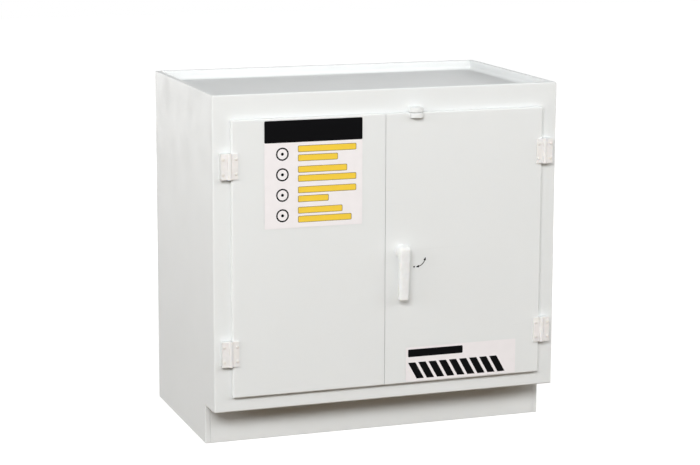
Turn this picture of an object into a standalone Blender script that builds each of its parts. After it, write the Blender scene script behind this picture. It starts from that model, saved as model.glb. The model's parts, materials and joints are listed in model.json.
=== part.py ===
"""White polyethylene safety cabinet: a welded case with a sump, a shelf and two hinged doors.

The left door is held by a slide bolt inside, and the right door by a lever latch. Lengths are in
metres. +X is to the right as seen from the front, +Y is to the back and +Z is up. The origin is on
the floor, under the middle of the part.
"""
from math import asin, cos, pi, sin

import bmesh
import bpy
from mathutils import Vector

# Case
CASE_WIDTH = 0.9144
CASE_DEPTH = 0.5588
CASE_HEIGHT = 0.89535
CASE_SHEET = 0.0127
FRAME_SHEET = 0.0127
SEAT_GAP = 0.0003
PANEL_ROUND = 0.0015
FRAME_ROUND = 0.0025
RECESS_DEPTH = 0.0254
KICK_HEIGHT = 0.1016
KICK_DEPTH = 0.087
RECESS_BEAD = 0.010
SUMP_BEAD = 0.006

# Shelf, with its lip and cleats
SHELF_HEIGHT = 0.450
SHELF_SHEET = 0.0095
SHELF_SETBACK = 0.050
LIP_RISE = 0.019
LIP_SHEET = 0.0095
CLEAT_SIZE = 0.019

# Doors
DOOR_SHEET = 0.0127
DOOR_STANDOFF = 0.0012
DOOR_SIDE_MARGIN = 0.0445
DOOR_TOP_MARGIN = 0.0605
DOOR_BOTTOM_MARGIN = 0.038
DOOR_OVERLAP = 0.013
DOOR_GAP = 0.0011
DOOR_ROUND = 0.003
MEETING_OFFSET = 0.0135
POST_WIDTH = 0.044

# Hinges
HINGE_HEIGHT = 0.0635
HINGE_END_DISTANCE = 0.1135
LEAF_REACH = 0.0215
LEAF_THICKNESS = 0.004
SPACER_ROUND = 0.0006
SPACER_CLEARANCE = 0.003
KNUCKLE_RADIUS = 0.0048
KNUCKLE_MIDDLE = 0.0265
KNUCKLE_PLAY = 0.0004
PIN_RADIUS = 0.0024
PIN_END = 0.0006
PIN_OFFSET = 0.006
SCREW_REACH = 0.0165
SCREW_RISE = 0.0185
SCREW_RADIUS = 0.0019
SCREW_HEAD_RADIUS = 0.0038
SCREW_HEAD_HEIGHT = 0.002
SCREW_GRIP = 0.009
SCREW_CROWN_SHARES = ((0.62, 0.92), (0.95, 0.5), (1, 0))

# Lever latch
LEVER_SETBACK = 0.043
LEVER_RISE = -0.002
LEVER_REACH = 0.032
LEVER_WIDTH = 0.029
LEVER_DROP = 0.1235
LEVER_END_WIDTH = 0.024
LEVER_END_THICKNESS = 0.019
LEVER_OUTER_KNEE = 0.010
LEVER_INNER_KNEE = 0.003
LEVER_NECK = 0.002
LEVER_END_ROUND = 0.005
LEVER_SQUARENESS = 4.0
SHAFT_RADIUS = 0.006
SHAFT_SOCKET = 0.016
SHAFT_END = 0.002
COLLAR_RADIUS = 0.0095
BUSH_RADIUS = 0.009
BUSH_FLANGE_RADIUS = 0.017
BUSH_FLANGE = 0.004
RUNNING_GAP = 0.0004
BEHIND_FRAME = 0.0015
TONGUE_THICKNESS = 0.008
TONGUE_HUB_RADIUS = 0.012
TONGUE_LENGTH = 0.035
TONGUE_TIP_RADIUS = 0.008
TONGUE_ROUND = 0.001
NUT_RADIUS = 0.011
NUT_THICKNESS = 0.007

# Padlock ears
EAR_WIDTH = 0.034
EAR_REACH = 0.033
EAR_SHEET = 0.0127
EAR_SETBACK = 0.080
EAR_GAP = 0.001
EAR_ROUND = 0.0015
SHACKLE_HOLE_RADIUS = 0.005
SHACKLE_HOLE_WALL = 0.0055

# Slide bolt inside the left door
BOLT_SETBACK = 0.055
BOLT_WIDTH = 0.018
BOLT_THICKNESS = 0.008
BOLT_LENGTH = 0.140
BOLT_ROUND = 0.001
BOLT_BELOW_RAIL = 0.007
BOLT_SHOW = 0.010
BOLT_BASE_WIDTH = 0.036
BOLT_BASE_HEIGHT = 0.110
BRIDGE_HEIGHT = 0.014
BRIDGE_WALL = 0.005
KNOB_RADIUS = 0.007
KNOB_LENGTH = 0.014
KNOB_REST = 0.003

# Facets of round shapes, the angle of an edge that stays sharp, and how far a cutter runs past
ROUND_SIDES = 24
SMALL_SIDES = 16
SCREW_SIDES = 12
NUT_SIDES = 6
KNUCKLE_STEPS = 14
NOSE_STEPS = 14
KNEE_STEPS = 5
GRIP_STEPS = 4
END_STEPS = 4
BEAD_STEPS = 4
DOOR_EDGE_STEPS = 3
PANEL_EDGE_STEPS = 2
SHARP_ANGLE = pi / 5
CUT_OVERRUN = 0.002

# Colours as base colour, roughness and metallic value
FINISHES = {
    "white_polyethylene": ((0.80, 0.81, 0.80), 0.42, 0.0),
    "natural_moulding": ((0.80, 0.78, 0.71), 0.38, 0.0),
    "white_moulding": ((0.82, 0.82, 0.80), 0.32, 0.0),
    "screw_nylon": ((0.78, 0.75, 0.70), 0.40, 0.0),
}

# Places that follow from the sizes, from the back to the front
WHOLE_DEPTH = CASE_DEPTH + DOOR_STANDOFF + DOOR_SHEET + LEVER_REACH
BACK_Y = WHOLE_DEPTH / 2
INNER_BACK_Y = BACK_Y - CASE_SHEET - SEAT_GAP
FRAME_Y = BACK_Y - CASE_DEPTH
FRAME_BACK_Y = FRAME_Y + FRAME_SHEET
CASE_FRONT_Y = FRAME_BACK_Y + SEAT_GAP
BEHIND_FRAME_Y = FRAME_BACK_Y + BEHIND_FRAME
KICK_Y = FRAME_Y + KICK_DEPTH
DOOR_BACK_Y = FRAME_Y - DOOR_STANDOFF
DOOR_Y = DOOR_BACK_Y - DOOR_SHEET
PIN_Y = DOOR_Y - SEAT_GAP - KNUCKLE_RADIUS

# The same across the width
HALF_WIDTH = CASE_WIDTH / 2
INNER_HALF_WIDTH = HALF_WIDTH - CASE_SHEET - SEAT_GAP
DOOR_EDGE_X = HALF_WIDTH - DOOR_SIDE_MARGIN
PIN_X = DOOR_EDGE_X + PIN_OFFSET
MEETING_X = -MEETING_OFFSET
LEVER_X = MEETING_X + DOOR_GAP / 2 + LEVER_SETBACK
EAR_X = MEETING_X + EAR_SETBACK
BOLT_X = MEETING_X - BOLT_SETBACK

# The same up the height
RECESS_Z = CASE_HEIGHT - RECESS_DEPTH
SUMP_Z = KICK_HEIGHT + CASE_SHEET
DOOR_LOW_Z = KICK_HEIGHT + DOOR_BOTTOM_MARGIN
DOOR_HIGH_Z = CASE_HEIGHT - DOOR_TOP_MARGIN
OPENING_LOW_Z = DOOR_LOW_Z + DOOR_OVERLAP
OPENING_HIGH_Z = DOOR_HIGH_Z - DOOR_OVERLAP
LEVER_Z = (DOOR_LOW_Z + DOOR_HIGH_Z) / 2 + LEVER_RISE
HINGE_HEIGHTS = {"lower": DOOR_LOW_Z + HINGE_END_DISTANCE, "upper": DOOR_HIGH_Z - HINGE_END_DISTANCE}


def material(name, finish):
    """A Principled material of one of the finishes."""
    colour, roughness, metallic = FINISHES[finish]
    made = bpy.data.materials.new(f"{name}_{finish}")
    made.use_nodes = True
    shader = made.node_tree.nodes["Principled BSDF"]
    shader.inputs["Base Color"].default_value = (*colour, 1)
    shader.inputs["Roughness"].default_value = roughness
    shader.inputs["Metallic"].default_value = metallic
    return made


def world_place(item):
    """Where an object stands: its own location added to those of its parents."""
    place = Vector()
    while item:
        place += item.location
        item = item.parent
    return place


def add_object(name, data, at, parent):
    """Put an object in the scene at a place in the world, under a parent or none."""
    item = bpy.data.objects.new(name, data)
    bpy.context.scene.collection.objects.link(item)
    item.parent = parent
    item.location = Vector(at) - world_place(parent)
    return item


def solid(name, shape, finish, at, parent=None):
    """Turn a bmesh in world coordinates into an object whose origin is at the given place."""
    bmesh.ops.translate(shape, verts=shape.verts, vec=-Vector(at))
    bmesh.ops.recalc_face_normals(shape, faces=shape.faces)
    mesh = bpy.data.meshes.new(name)
    shape.to_mesh(mesh)
    shape.free()
    if finish:
        mesh.materials.append(material(name, finish))
    return add_object(name, mesh, at, parent)


def box(low, high):
    """A cuboid between two corners."""
    low, high = Vector(low), Vector(high)
    shape = bmesh.new()
    bmesh.ops.create_cube(shape, size=1)
    bmesh.ops.scale(shape, verts=shape.verts, vec=high - low)
    bmesh.ops.translate(shape, verts=shape.verts, vec=(low + high) / 2)
    return shape


def skin(rings, closed=False):
    """A skin over rings with equally many points: capped at both ends, or closed into a loop."""
    shape = bmesh.new()
    rows = [[shape.verts.new(point) for point in ring] for ring in rings]
    following = rows[1:] + rows[:1] if closed else rows[1:]
    for row, after in zip(rows, following):
        for index in range(len(row)):
            shape.faces.new((row[index - 1], row[index], after[index], after[index - 1]))
    if not closed:
        shape.faces.new(rows[0])
        shape.faces.new(rows[-1])
    return shape


def prism(outline, start, stop, axis):
    """A flat outline run along X, Y or Z from start to stop."""
    spots = {
        "X": lambda point, along: (along, point[0], point[1]),
        "Y": lambda point, along: (point[0], along, point[1]),
        "Z": lambda point, along: (point[0], point[1], along),
    }
    return skin([[spots[axis](point, along) for point in outline] for along in (start, stop)])


def turn(profile, centre, axis, sides):
    """Points of radius and distance along an axis, turned about it; the first and last are on it."""
    shape = bmesh.new()
    rows = []
    for radius, along in profile:
        row = []
        for index in range(sides if radius else 1):
            angle = 2 * pi * index / sides
            across, up = radius * cos(angle), radius * sin(angle)
            offset = (across, along, up) if axis == "Y" else (across, up, along)
            row.append(shape.verts.new(Vector(centre) + Vector(offset)))
        rows.append(row * sides if len(row) == 1 else row)
    for row, after in zip(rows, rows[1:]):
        for index in range(sides):
            corners = (row[index - 1], row[index], after[index], after[index - 1])
            shape.faces.new(dict.fromkeys(corners))
    return shape


def rod(centre, axis, radius, start, stop, sides):
    """A cylinder about an axis through the centre."""
    return turn([(0, start), (radius, start), (radius, stop), (0, stop)], centre, axis, sides)


def arc(centre, radius, start, stop, steps):
    """Points of a circular arc, both ends included."""
    angles = [start + (stop - start) * index / steps for index in range(steps + 1)]
    return [(centre[0] + radius * cos(angle), centre[1] + radius * sin(angle)) for angle in angles]


def join(shapes):
    """One bmesh with the bodies of several, which don't touch each other."""
    whole = bmesh.new()
    for shape in shapes:
        mesh = bpy.data.meshes.new("joined")
        shape.to_mesh(mesh)
        shape.free()
        whole.from_mesh(mesh)
        bpy.data.meshes.remove(mesh)
    return whole


def apply_modifiers(item):
    """Replace an object's mesh by what its modifiers make of it."""
    graph = bpy.context.evaluated_depsgraph_get()
    made = bpy.data.meshes.new_from_object(item.evaluated_get(graph))
    plain = item.data
    item.modifiers.clear()
    item.data = made
    bpy.data.meshes.remove(plain)
    made.name = item.name


def bevel(item, width, segments=PANEL_EDGE_STEPS):
    """Round an object's sharp edges."""
    edge = item.modifiers.new("rounded_edges", "BEVEL")
    edge.width = width
    edge.segments = segments
    edge.limit_method = "ANGLE"
    edge.angle_limit = SHARP_ANGLE
    apply_modifiers(item)


def cut(item, shape):
    """Cut a bmesh in world coordinates out of an object."""
    cutter = solid("cutter", shape, None, (0, 0, 0))
    boolean = item.modifiers.new("cut", "BOOLEAN")
    boolean.solver = "EXACT"
    boolean.object = cutter
    apply_modifiers(item)
    mesh = cutter.data
    bpy.data.objects.remove(cutter)
    bpy.data.meshes.remove(mesh)


def shade_round(item):
    """Shade an object smooth apart from its sharp edges."""
    item.data.shade_smooth()
    item.data.set_sharp_from_angle(angle=SHARP_ANGLE)


def panel(name, low, high, edge_round=PANEL_ROUND, parent=None):
    """A flat piece of sheet between two corners, with rounded edges."""
    at = world_place(parent) if parent else (Vector(low) + Vector(high)) / 2
    item = solid(name, box(low, high), "white_polyethylene", at, parent)
    bevel(item, edge_round)
    return item


def weld_bead(name, leg, height):
    """A bead with a hollow face, run round the inside corner of the case at a given height."""
    left, right = -INNER_HALF_WIDTH + SEAT_GAP, INNER_HALF_WIDTH - SEAT_GAP
    front, back = CASE_FRONT_Y, INNER_BACK_Y - SEAT_GAP
    rings = []
    for inset, rise in [(0, 0)] + arc((leg, leg), leg, pi * 3 / 2, pi, BEAD_STEPS):
        rings.append([(left + inset, front + inset, height + rise),
                      (right - inset, front + inset, height + rise),
                      (right - inset, back - inset, height + rise),
                      (left + inset, back - inset, height + rise)])
    solid(name, skin(rings, closed=True), "white_polyethylene", (0, 0, height))


def build_case():
    """The welded panels behind the face frame, and the beads that seal them."""
    outline = [(CASE_FRONT_Y, KICK_HEIGHT), (CASE_FRONT_Y, CASE_HEIGHT), (BACK_Y, CASE_HEIGHT),
               (BACK_Y, 0), (KICK_Y, 0), (KICK_Y, KICK_HEIGHT)]
    for side, sign in (("left", -1), ("right", 1)):
        outer = sign * HALF_WIDTH
        shape = prism(outline, outer, outer - sign * CASE_SHEET, "X")
        bevel(solid(f"side_panel_{side}", shape, "white_polyethylene", (outer, BACK_Y, 0)), PANEL_ROUND)
    panel("back_panel", (-INNER_HALF_WIDTH, BACK_Y - CASE_SHEET, 0), (INNER_HALF_WIDTH, BACK_Y, CASE_HEIGHT))
    panel("kick_board", (-INNER_HALF_WIDTH, KICK_Y, 0),
          (INNER_HALF_WIDTH, KICK_Y + CASE_SHEET, KICK_HEIGHT - SEAT_GAP))
    for name, top in (("floor_panel", SUMP_Z), ("top_panel", RECESS_Z)):
        panel(name, (-INNER_HALF_WIDTH, CASE_FRONT_Y, top - CASE_SHEET),
              (INNER_HALF_WIDTH, INNER_BACK_Y, top))
    weld_bead("recess_weld", RECESS_BEAD, RECESS_Z + SEAT_GAP)
    weld_bead("sump_weld", SUMP_BEAD, SUMP_Z + SEAT_GAP)


def build_face_frame():
    """The front sheet, with a door opening on each side of the post."""
    frame = panel("face_frame", (-HALF_WIDTH, FRAME_Y, KICK_HEIGHT),
                  (HALF_WIDTH, FRAME_BACK_Y, CASE_HEIGHT), FRAME_ROUND)
    edge = DOOR_EDGE_X - DOOR_OVERLAP
    spans = ((-edge, MEETING_X - POST_WIDTH / 2), (MEETING_X + POST_WIDTH / 2, edge))
    cut(frame, join([box((left, FRAME_Y - CUT_OVERRUN, OPENING_LOW_Z),
                         (right, FRAME_BACK_Y + CUT_OVERRUN, OPENING_HIGH_Z)) for left, right in spans]))
    return frame


def build_shelf():
    """The shelf and its front lip on three cleats, all welded to the case."""
    front = FRAME_BACK_Y + SHELF_SETBACK
    under = SHELF_HEIGHT - SHELF_SHEET
    panel("shelf_lip", (-INNER_HALF_WIDTH, front, under),
          (INNER_HALF_WIDTH, front + LIP_SHEET, SHELF_HEIGHT + LIP_RISE))
    panel("shelf", (-INNER_HALF_WIDTH, front + LIP_SHEET + SEAT_GAP, under),
          (INNER_HALF_WIDTH, INNER_BACK_Y, SHELF_HEIGHT))
    top = under - SEAT_GAP
    inner = INNER_HALF_WIDTH - CLEAT_SIZE
    spans = {"left": (-INNER_HALF_WIDTH, -inner), "right": (inner, INNER_HALF_WIDTH)}
    for side, (start, stop) in spans.items():
        panel(f"shelf_cleat_{side}", (start, front, top - CLEAT_SIZE), (stop, INNER_BACK_Y, top))
    panel("shelf_cleat_back", (-inner + SEAT_GAP, INNER_BACK_Y - CLEAT_SIZE, top - CLEAT_SIZE),
          (inner - SEAT_GAP, INNER_BACK_Y, top))


def build_door(side, left, right):
    """A flat door with round edges, and the empty on its hinge pins that carries it."""
    pin_x = -PIN_X if side == "left" else PIN_X
    hinge = add_object(f"{side}_door_hinge", None, (pin_x, PIN_Y, LEVER_Z), None)
    low, high = (left, DOOR_Y, DOOR_LOW_Z), (right, DOOR_BACK_Y, DOOR_HIGH_Z)
    door = solid(f"{side}_door", box(low, high), "white_polyethylene", world_place(hinge), hinge)
    bevel(door, DOOR_ROUND, DOOR_EDGE_STEPS)
    return door, hinge


def screw_spots(pin, sign, y):
    """Places of the two screws in the leaf on one side of the pin."""
    rises = {"low": -SCREW_RISE, "high": SCREW_RISE}
    return {end: Vector((pin.x + sign * SCREW_REACH, y, pin.z + rise)) for end, rise in rises.items()}


def hinge_holes(pin, sign, bottom):
    """Cutters for the pin's hole, and for two screw holes on one side of it that end at bottom."""
    reach = HINGE_HEIGHT / 2 + CUT_OVERRUN
    start = KNUCKLE_RADIUS - LEAF_THICKNESS - CUT_OVERRUN
    holes = [rod(pin, "Z", PIN_RADIUS + KNUCKLE_PLAY, -reach, reach, ROUND_SIDES)]
    for spot in screw_spots(pin, sign, pin.y).values():
        holes.append(rod(spot, "Y", SCREW_RADIUS + SEAT_GAP, start, bottom - pin.y, SCREW_SIDES))
    return join(holes)


def build_leaf(name, pin, sign, notches, parent):
    """A hinge leaf: a plate on one side of the pin, curled into a knuckle and notched for the other."""
    front = KNUCKLE_RADIUS - LEAF_THICKNESS
    curl = arc((0, 0), KNUCKLE_RADIUS, pi / 2, 2 * pi + asin(front / KNUCKLE_RADIUS), KNUCKLE_STEPS)
    outline = [(LEAF_REACH, KNUCKLE_RADIUS)] + curl + [(LEAF_REACH, front)]
    outline = [(pin.x + sign * across, pin.y + along) for across, along in outline]
    half = HINGE_HEIGHT / 2
    shape = prism(outline, pin.z - half, pin.z + half, "Z")
    item = solid(name, shape, "natural_moulding", world_place(parent) if parent else pin, parent)
    clear = KNUCKLE_RADIUS + KNUCKLE_PLAY
    left, right = sorted((pin.x - sign * (clear + CUT_OVERRUN), pin.x + sign * clear))
    reach = clear + CUT_OVERRUN
    cut(item, join([box((left, pin.y - reach, pin.z + low), (right, pin.y + reach, pin.z + high))
                    for low, high in notches]))
    return item


def build_hinge(name, pin, inward, frame, door, hinge):
    """A hinge: spacer and leaf on the frame, leaf on the door, and the pin through both leaves."""
    half = HINGE_HEIGHT / 2
    left, right = sorted((pin.x - inward * LEAF_REACH, pin.x + inward * (PIN_OFFSET - SPACER_CLEARANCE)))
    spacer = panel(f"{name}_hinge_spacer", (left, DOOR_Y, pin.z - half),
                   (right, FRAME_Y - SEAT_GAP, pin.z + half), SPACER_ROUND)
    knuckle = KNUCKLE_MIDDLE / 2
    between = [(-knuckle - KNUCKLE_PLAY, knuckle + KNUCKLE_PLAY)]
    beyond = [(-half - CUT_OVERRUN, -knuckle), (knuckle, half + CUT_OVERRUN)]
    outer = build_leaf(f"{name}_frame_leaf", pin, -inward, between, None)
    inner = build_leaf(f"{name}_door_leaf", pin, inward, beyond, hinge)
    for item in (outer, spacer, frame):
        cut(item, hinge_holes(pin, -inward, FRAME_Y + SCREW_GRIP + SEAT_GAP))
    for item in (inner, door):
        cut(item, hinge_holes(pin, inward, DOOR_Y + SCREW_GRIP + SEAT_GAP))
    reach = half + PIN_END
    bar = rod(pin, "Z", PIN_RADIUS, -reach, reach, SMALL_SIDES)
    for item in (outer, inner, solid(f"{name}_hinge_pin", bar, "natural_moulding", pin)):
        shade_round(item)


def build_screws(name, pin, sign, stop, parent=None):
    """The two round-headed screws of a leaf, driven towards the back as far as stop."""
    head_y = PIN_Y + KNUCKLE_RADIUS - LEAF_THICKNESS - SEAT_GAP
    profile = [(0, -SCREW_HEAD_HEIGHT)]
    profile += [(SCREW_HEAD_RADIUS * across, -SCREW_HEAD_HEIGHT * up) for across, up in SCREW_CROWN_SHARES]
    profile += [(SCREW_RADIUS, 0), (SCREW_RADIUS, stop - head_y), (0, stop - head_y)]
    for end, spot in screw_spots(pin, sign, head_y).items():
        shape = turn(profile, spot, "Y", SCREW_SIDES)
        shade_round(solid(f"{name}_screw_{end}", shape, "screw_nylon", spot, parent))


def build_hinges(frame, doors):
    """Two hinges on each door, with two screws in each leaf."""
    for side, inward in (("left", 1), ("right", -1)):
        door, hinge = doors[side]
        for level, height in HINGE_HEIGHTS.items():
            name = f"{side}_{level}"
            pin = Vector((-inward * PIN_X, PIN_Y, height))
            build_hinge(name, pin, inward, frame, door, hinge)
            build_screws(f"{name}_frame", pin, -inward, FRAME_Y + SCREW_GRIP)
            build_screws(f"{name}_door", pin, inward, DOOR_Y + SCREW_GRIP, hinge)


def lever_ring(outer, inner, half_width, aside=0):
    """One ring of the lever, from a point of its outer line to one of its inner, moved left by aside."""
    ring = []
    for index in range(ROUND_SIDES):
        angle = 2 * pi * index / ROUND_SIDES
        across, along = (abs(part) ** (2 / LEVER_SQUARENESS) * (1 if part > 0 else -1)
                         for part in (cos(angle), sin(angle)))
        out, up = ((near + far) / 2 + along * (near - far) / 2 for near, far in zip(outer, inner))
        ring.append((LEVER_X - aside + half_width * across, DOOR_Y - out, LEVER_Z + up))
    return ring


def build_lever(pivot):
    """The moulded lever: a head out from the door, a knee, and a wedge-shaped grip with a round end."""
    start = BUSH_FLANGE + SEAT_GAP + RUNNING_GAP
    back = LEVER_REACH - LEVER_END_THICKNESS
    half, end = LEVER_WIDTH / 2, LEVER_END_WIDTH / 2
    knee_out = LEVER_REACH - LEVER_OUTER_KNEE, half - LEVER_OUTER_KNEE
    knee_in = start + LEVER_NECK, -half - LEVER_INNER_KNEE
    rings = [lever_ring((start, half), (start, -half), half)]
    outers = arc(knee_out, LEVER_OUTER_KNEE, pi / 2, 0, KNEE_STEPS)
    inners = arc(knee_in, LEVER_INNER_KNEE, pi / 2, 0, KNEE_STEPS)
    rings += [lever_ring(outer, inner, half) for outer, inner in zip(outers, inners)]
    end_up = LEVER_END_ROUND - LEVER_DROP
    for index in range(1, GRIP_STEPS + 1):
        share = index / GRIP_STEPS
        outer, inner = ([first + share * (stop - first) for first, stop in zip(line[-1], (last, end_up))]
                        for line, last in ((outers, LEVER_REACH), (inners, back)))
        aside = share * (half - end)
        rings.append(lever_ring(outer, inner, half - aside, aside))
    for out, up in arc((0, end_up), LEVER_END_ROUND, 0, -pi / 2, END_STEPS)[1:]:
        inset = LEVER_END_ROUND - out
        rings.append(lever_ring((LEVER_REACH - inset, up), (back + inset, up), end - inset, aside))
    lever = solid("lever", skin(rings), "white_moulding", world_place(pivot), pivot)
    cut(lever, rod((LEVER_X, DOOR_Y - start, LEVER_Z), "Y", SHAFT_RADIUS + SEAT_GAP,
                   -SHAFT_SOCKET, CUT_OVERRUN, ROUND_SIDES))
    shade_round(lever)


def build_latch(door, hinge):
    """The lever latch of the right door: bush, lever, shaft, tongue and nut."""
    axis = Vector((LEVER_X, DOOR_Y, LEVER_Z))
    pivot = add_object("lever_pivot", None, axis, hinge)
    build_lever(pivot)

    cut(door, rod(axis, "Y", BUSH_RADIUS + SEAT_GAP, -CUT_OVERRUN, DOOR_SHEET + CUT_OVERRUN, ROUND_SIDES))
    profile = [(0, -BUSH_FLANGE - SEAT_GAP), (BUSH_FLANGE_RADIUS, -BUSH_FLANGE - SEAT_GAP),
               (BUSH_FLANGE_RADIUS, -SEAT_GAP), (BUSH_RADIUS, -SEAT_GAP), (BUSH_RADIUS, DOOR_SHEET),
               (0, DOOR_SHEET)]
    bush = solid("latch_bush", turn(profile, axis, "Y", ROUND_SIDES), "white_moulding",
                 world_place(hinge), hinge)
    cut(bush, rod(axis, "Y", SHAFT_RADIUS + RUNNING_GAP, -DOOR_SHEET, DOOR_SHEET + CUT_OVERRUN, ROUND_SIDES))
    shade_round(bush)

    tongue_start = BEHIND_FRAME_Y - DOOR_Y
    nut_start = tongue_start + TONGUE_THICKNESS + SEAT_GAP
    nut_stop = nut_start + NUT_THICKNESS
    front = BUSH_FLANGE + RUNNING_GAP + SHAFT_SOCKET
    collar_start, collar_stop = DOOR_SHEET + RUNNING_GAP, tongue_start - SEAT_GAP
    end = nut_stop + SHAFT_END
    profile = [(0, -front), (SHAFT_RADIUS, -front), (SHAFT_RADIUS, collar_start),
               (COLLAR_RADIUS, collar_start), (COLLAR_RADIUS, collar_stop), (SHAFT_RADIUS, collar_stop),
               (SHAFT_RADIUS, end), (0, end)]
    shade_round(solid("latch_shaft", turn(profile, axis, "Y", ROUND_SIDES), "white_moulding", axis, pivot))

    lean = asin((TONGUE_HUB_RADIUS - TONGUE_TIP_RADIUS) / TONGUE_LENGTH)
    outline = arc((LEVER_X, LEVER_Z + TONGUE_LENGTH), TONGUE_TIP_RADIUS, lean, pi - lean, NOSE_STEPS)
    outline += arc((LEVER_X, LEVER_Z), TONGUE_HUB_RADIUS, pi - lean, 2 * pi + lean, NOSE_STEPS)
    shape = prism(outline, BEHIND_FRAME_Y, BEHIND_FRAME_Y + TONGUE_THICKNESS, "Y")
    tongue = solid("latch_tongue", shape, "white_moulding", axis, pivot)
    bevel(tongue, TONGUE_ROUND)
    nut = solid("latch_nut", rod(axis, "Y", NUT_RADIUS, nut_start, nut_stop, NUT_SIDES), "white_moulding",
                axis, pivot)
    for item in (tongue, nut):
        cut(item, rod(axis, "Y", SHAFT_RADIUS + SEAT_GAP, collar_start, nut_stop + CUT_OVERRUN, ROUND_SIDES))


def build_ear(name, back, low, at, parent=None):
    """A padlock ear: a flat lug with a round nose and a shackle hole, its back at the given Y."""
    radius = EAR_WIDTH / 2
    centre = EAR_X, FRAME_Y - EAR_REACH + radius
    turned = asin(max(-1, min(0, (back - centre[1]) / radius)))
    outline = arc(centre, radius, turned, -pi - turned, NOSE_STEPS)
    if back > centre[1]:
        outline = [(EAR_X + radius, back)] + outline + [(EAR_X - radius, back)]
    ear = solid(name, prism(outline, low, low + EAR_SHEET, "Z"), "white_polyethylene", at, parent)
    bevel(ear, EAR_ROUND)
    hole_y = FRAME_Y - EAR_REACH + SHACKLE_HOLE_WALL + SHACKLE_HOLE_RADIUS
    cut(ear, rod((EAR_X, hole_y, low), "Z", SHACKLE_HOLE_RADIUS, -CUT_OVERRUN, EAR_SHEET + CUT_OVERRUN,
                 SMALL_SIDES))
    shade_round(ear)


def build_slide_bolt(hinge):
    """The left door's bolt, which slides up behind the frame's top rail."""
    top = OPENING_HIGH_Z - BOLT_BELOW_RAIL
    base_top = top - BOLT_SHOW
    base_low = base_top - BOLT_BASE_HEIGHT
    half_base, half_bolt = BOLT_BASE_WIDTH / 2, BOLT_WIDTH / 2
    base_y = BEHIND_FRAME_Y - RUNNING_GAP
    bolt_y = BEHIND_FRAME_Y + BOLT_THICKNESS
    panel("bolt_base", (BOLT_X - half_base, DOOR_BACK_Y + SEAT_GAP, base_low),
          (BOLT_X + half_base, base_y, base_top), BOLT_ROUND, hinge)

    channel, channel_y = half_bolt + RUNNING_GAP, bolt_y + RUNNING_GAP
    start, stop = base_y + SEAT_GAP, channel_y + BRIDGE_WALL
    outline = [(-half_base, start), (-half_base, stop), (half_base, stop), (half_base, start),
               (channel, start), (channel, channel_y), (-channel, channel_y), (-channel, start)]
    outline = [(BOLT_X + across, along) for across, along in outline]
    for level, low in (("lower", base_low), ("upper", base_top - BRIDGE_HEIGHT)):
        shape = prism(outline, low, low + BRIDGE_HEIGHT, "Z")
        solid(f"bolt_{level}_bridge", shape, "white_polyethylene", world_place(hinge), hinge)

    slide = add_object("bolt_slide", None, (BOLT_X, bolt_y, top), hinge)
    panel("slide_bolt", (BOLT_X - half_bolt, BEHIND_FRAME_Y, top - BOLT_LENGTH),
          (BOLT_X + half_bolt, bolt_y, top), BOLT_ROUND, slide)
    spot = (BOLT_X, bolt_y + SEAT_GAP, base_low + BRIDGE_HEIGHT + KNOB_REST + KNOB_RADIUS)
    knob = solid("bolt_knob", rod(spot, "Y", KNOB_RADIUS, 0, KNOB_LENGTH, SMALL_SIDES), "white_moulding",
                 world_place(slide), slide)
    bevel(knob, BOLT_ROUND)
    shade_round(knob)


def main():
    """Clear the scene and build the cabinet."""
    for item in list(bpy.data.objects):
        bpy.data.objects.remove(item)
    build_case()
    frame = build_face_frame()
    build_shelf()
    doors = {
        "left": build_door("left", -DOOR_EDGE_X, MEETING_X - DOOR_GAP / 2),
        "right": build_door("right", MEETING_X + DOOR_GAP / 2, DOOR_EDGE_X),
    }
    build_hinges(frame, doors)
    right_door, right_hinge = doors["right"]
    build_latch(right_door, right_hinge)
    build_ear("frame_padlock_ear", FRAME_Y - SEAT_GAP, DOOR_HIGH_Z + EAR_GAP, (EAR_X, FRAME_Y, DOOR_HIGH_Z))
    build_ear("door_padlock_ear", DOOR_Y - SEAT_GAP, DOOR_HIGH_Z - EAR_SHEET, world_place(right_hinge),
              right_hinge)
    build_slide_bolt(doors["left"][1])


main()
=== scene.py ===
"""Looks of a white polyethylene safety cabinet: finishes, printed labels, weld beads and fine fittings.

Lengths are in metres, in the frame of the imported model: +X to the right seen from the front, +Y to
the back and +Z up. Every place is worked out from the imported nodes' boxes and the named sizes below.
"""
import json
from itertools import cycle
from math import asin, atan2, cos, pi, radians, sin, sqrt

import bmesh
import bpy
from mathutils import Matrix, Vector, noise


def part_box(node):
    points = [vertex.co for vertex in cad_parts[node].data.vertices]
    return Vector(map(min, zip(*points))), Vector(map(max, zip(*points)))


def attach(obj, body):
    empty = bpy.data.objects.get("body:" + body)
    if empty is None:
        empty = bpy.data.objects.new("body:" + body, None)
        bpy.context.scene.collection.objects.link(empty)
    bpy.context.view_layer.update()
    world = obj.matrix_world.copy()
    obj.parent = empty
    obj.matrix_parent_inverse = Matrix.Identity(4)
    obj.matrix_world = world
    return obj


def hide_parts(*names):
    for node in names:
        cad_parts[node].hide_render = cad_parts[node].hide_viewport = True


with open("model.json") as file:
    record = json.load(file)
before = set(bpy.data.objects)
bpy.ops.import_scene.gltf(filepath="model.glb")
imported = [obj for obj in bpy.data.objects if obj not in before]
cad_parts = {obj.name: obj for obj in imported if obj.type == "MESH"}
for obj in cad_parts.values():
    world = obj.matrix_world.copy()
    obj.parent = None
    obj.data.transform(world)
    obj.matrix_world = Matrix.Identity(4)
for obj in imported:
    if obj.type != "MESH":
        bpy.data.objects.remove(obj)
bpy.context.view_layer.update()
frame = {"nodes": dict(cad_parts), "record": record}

# The photograph's frame and the camera that was fitted to it
IMAGE_WIDTH_PX = 700
IMAGE_HEIGHT_PX = 465
FOCAL_LENGTH_PX = 2081
PRINCIPAL_POINT_PX = (350, 204.5)
CAMERA_PLACE = (-1.7981, -5.0706, 1.5205)
CAMERA_AZIMUTH = radians(-19.4)
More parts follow.
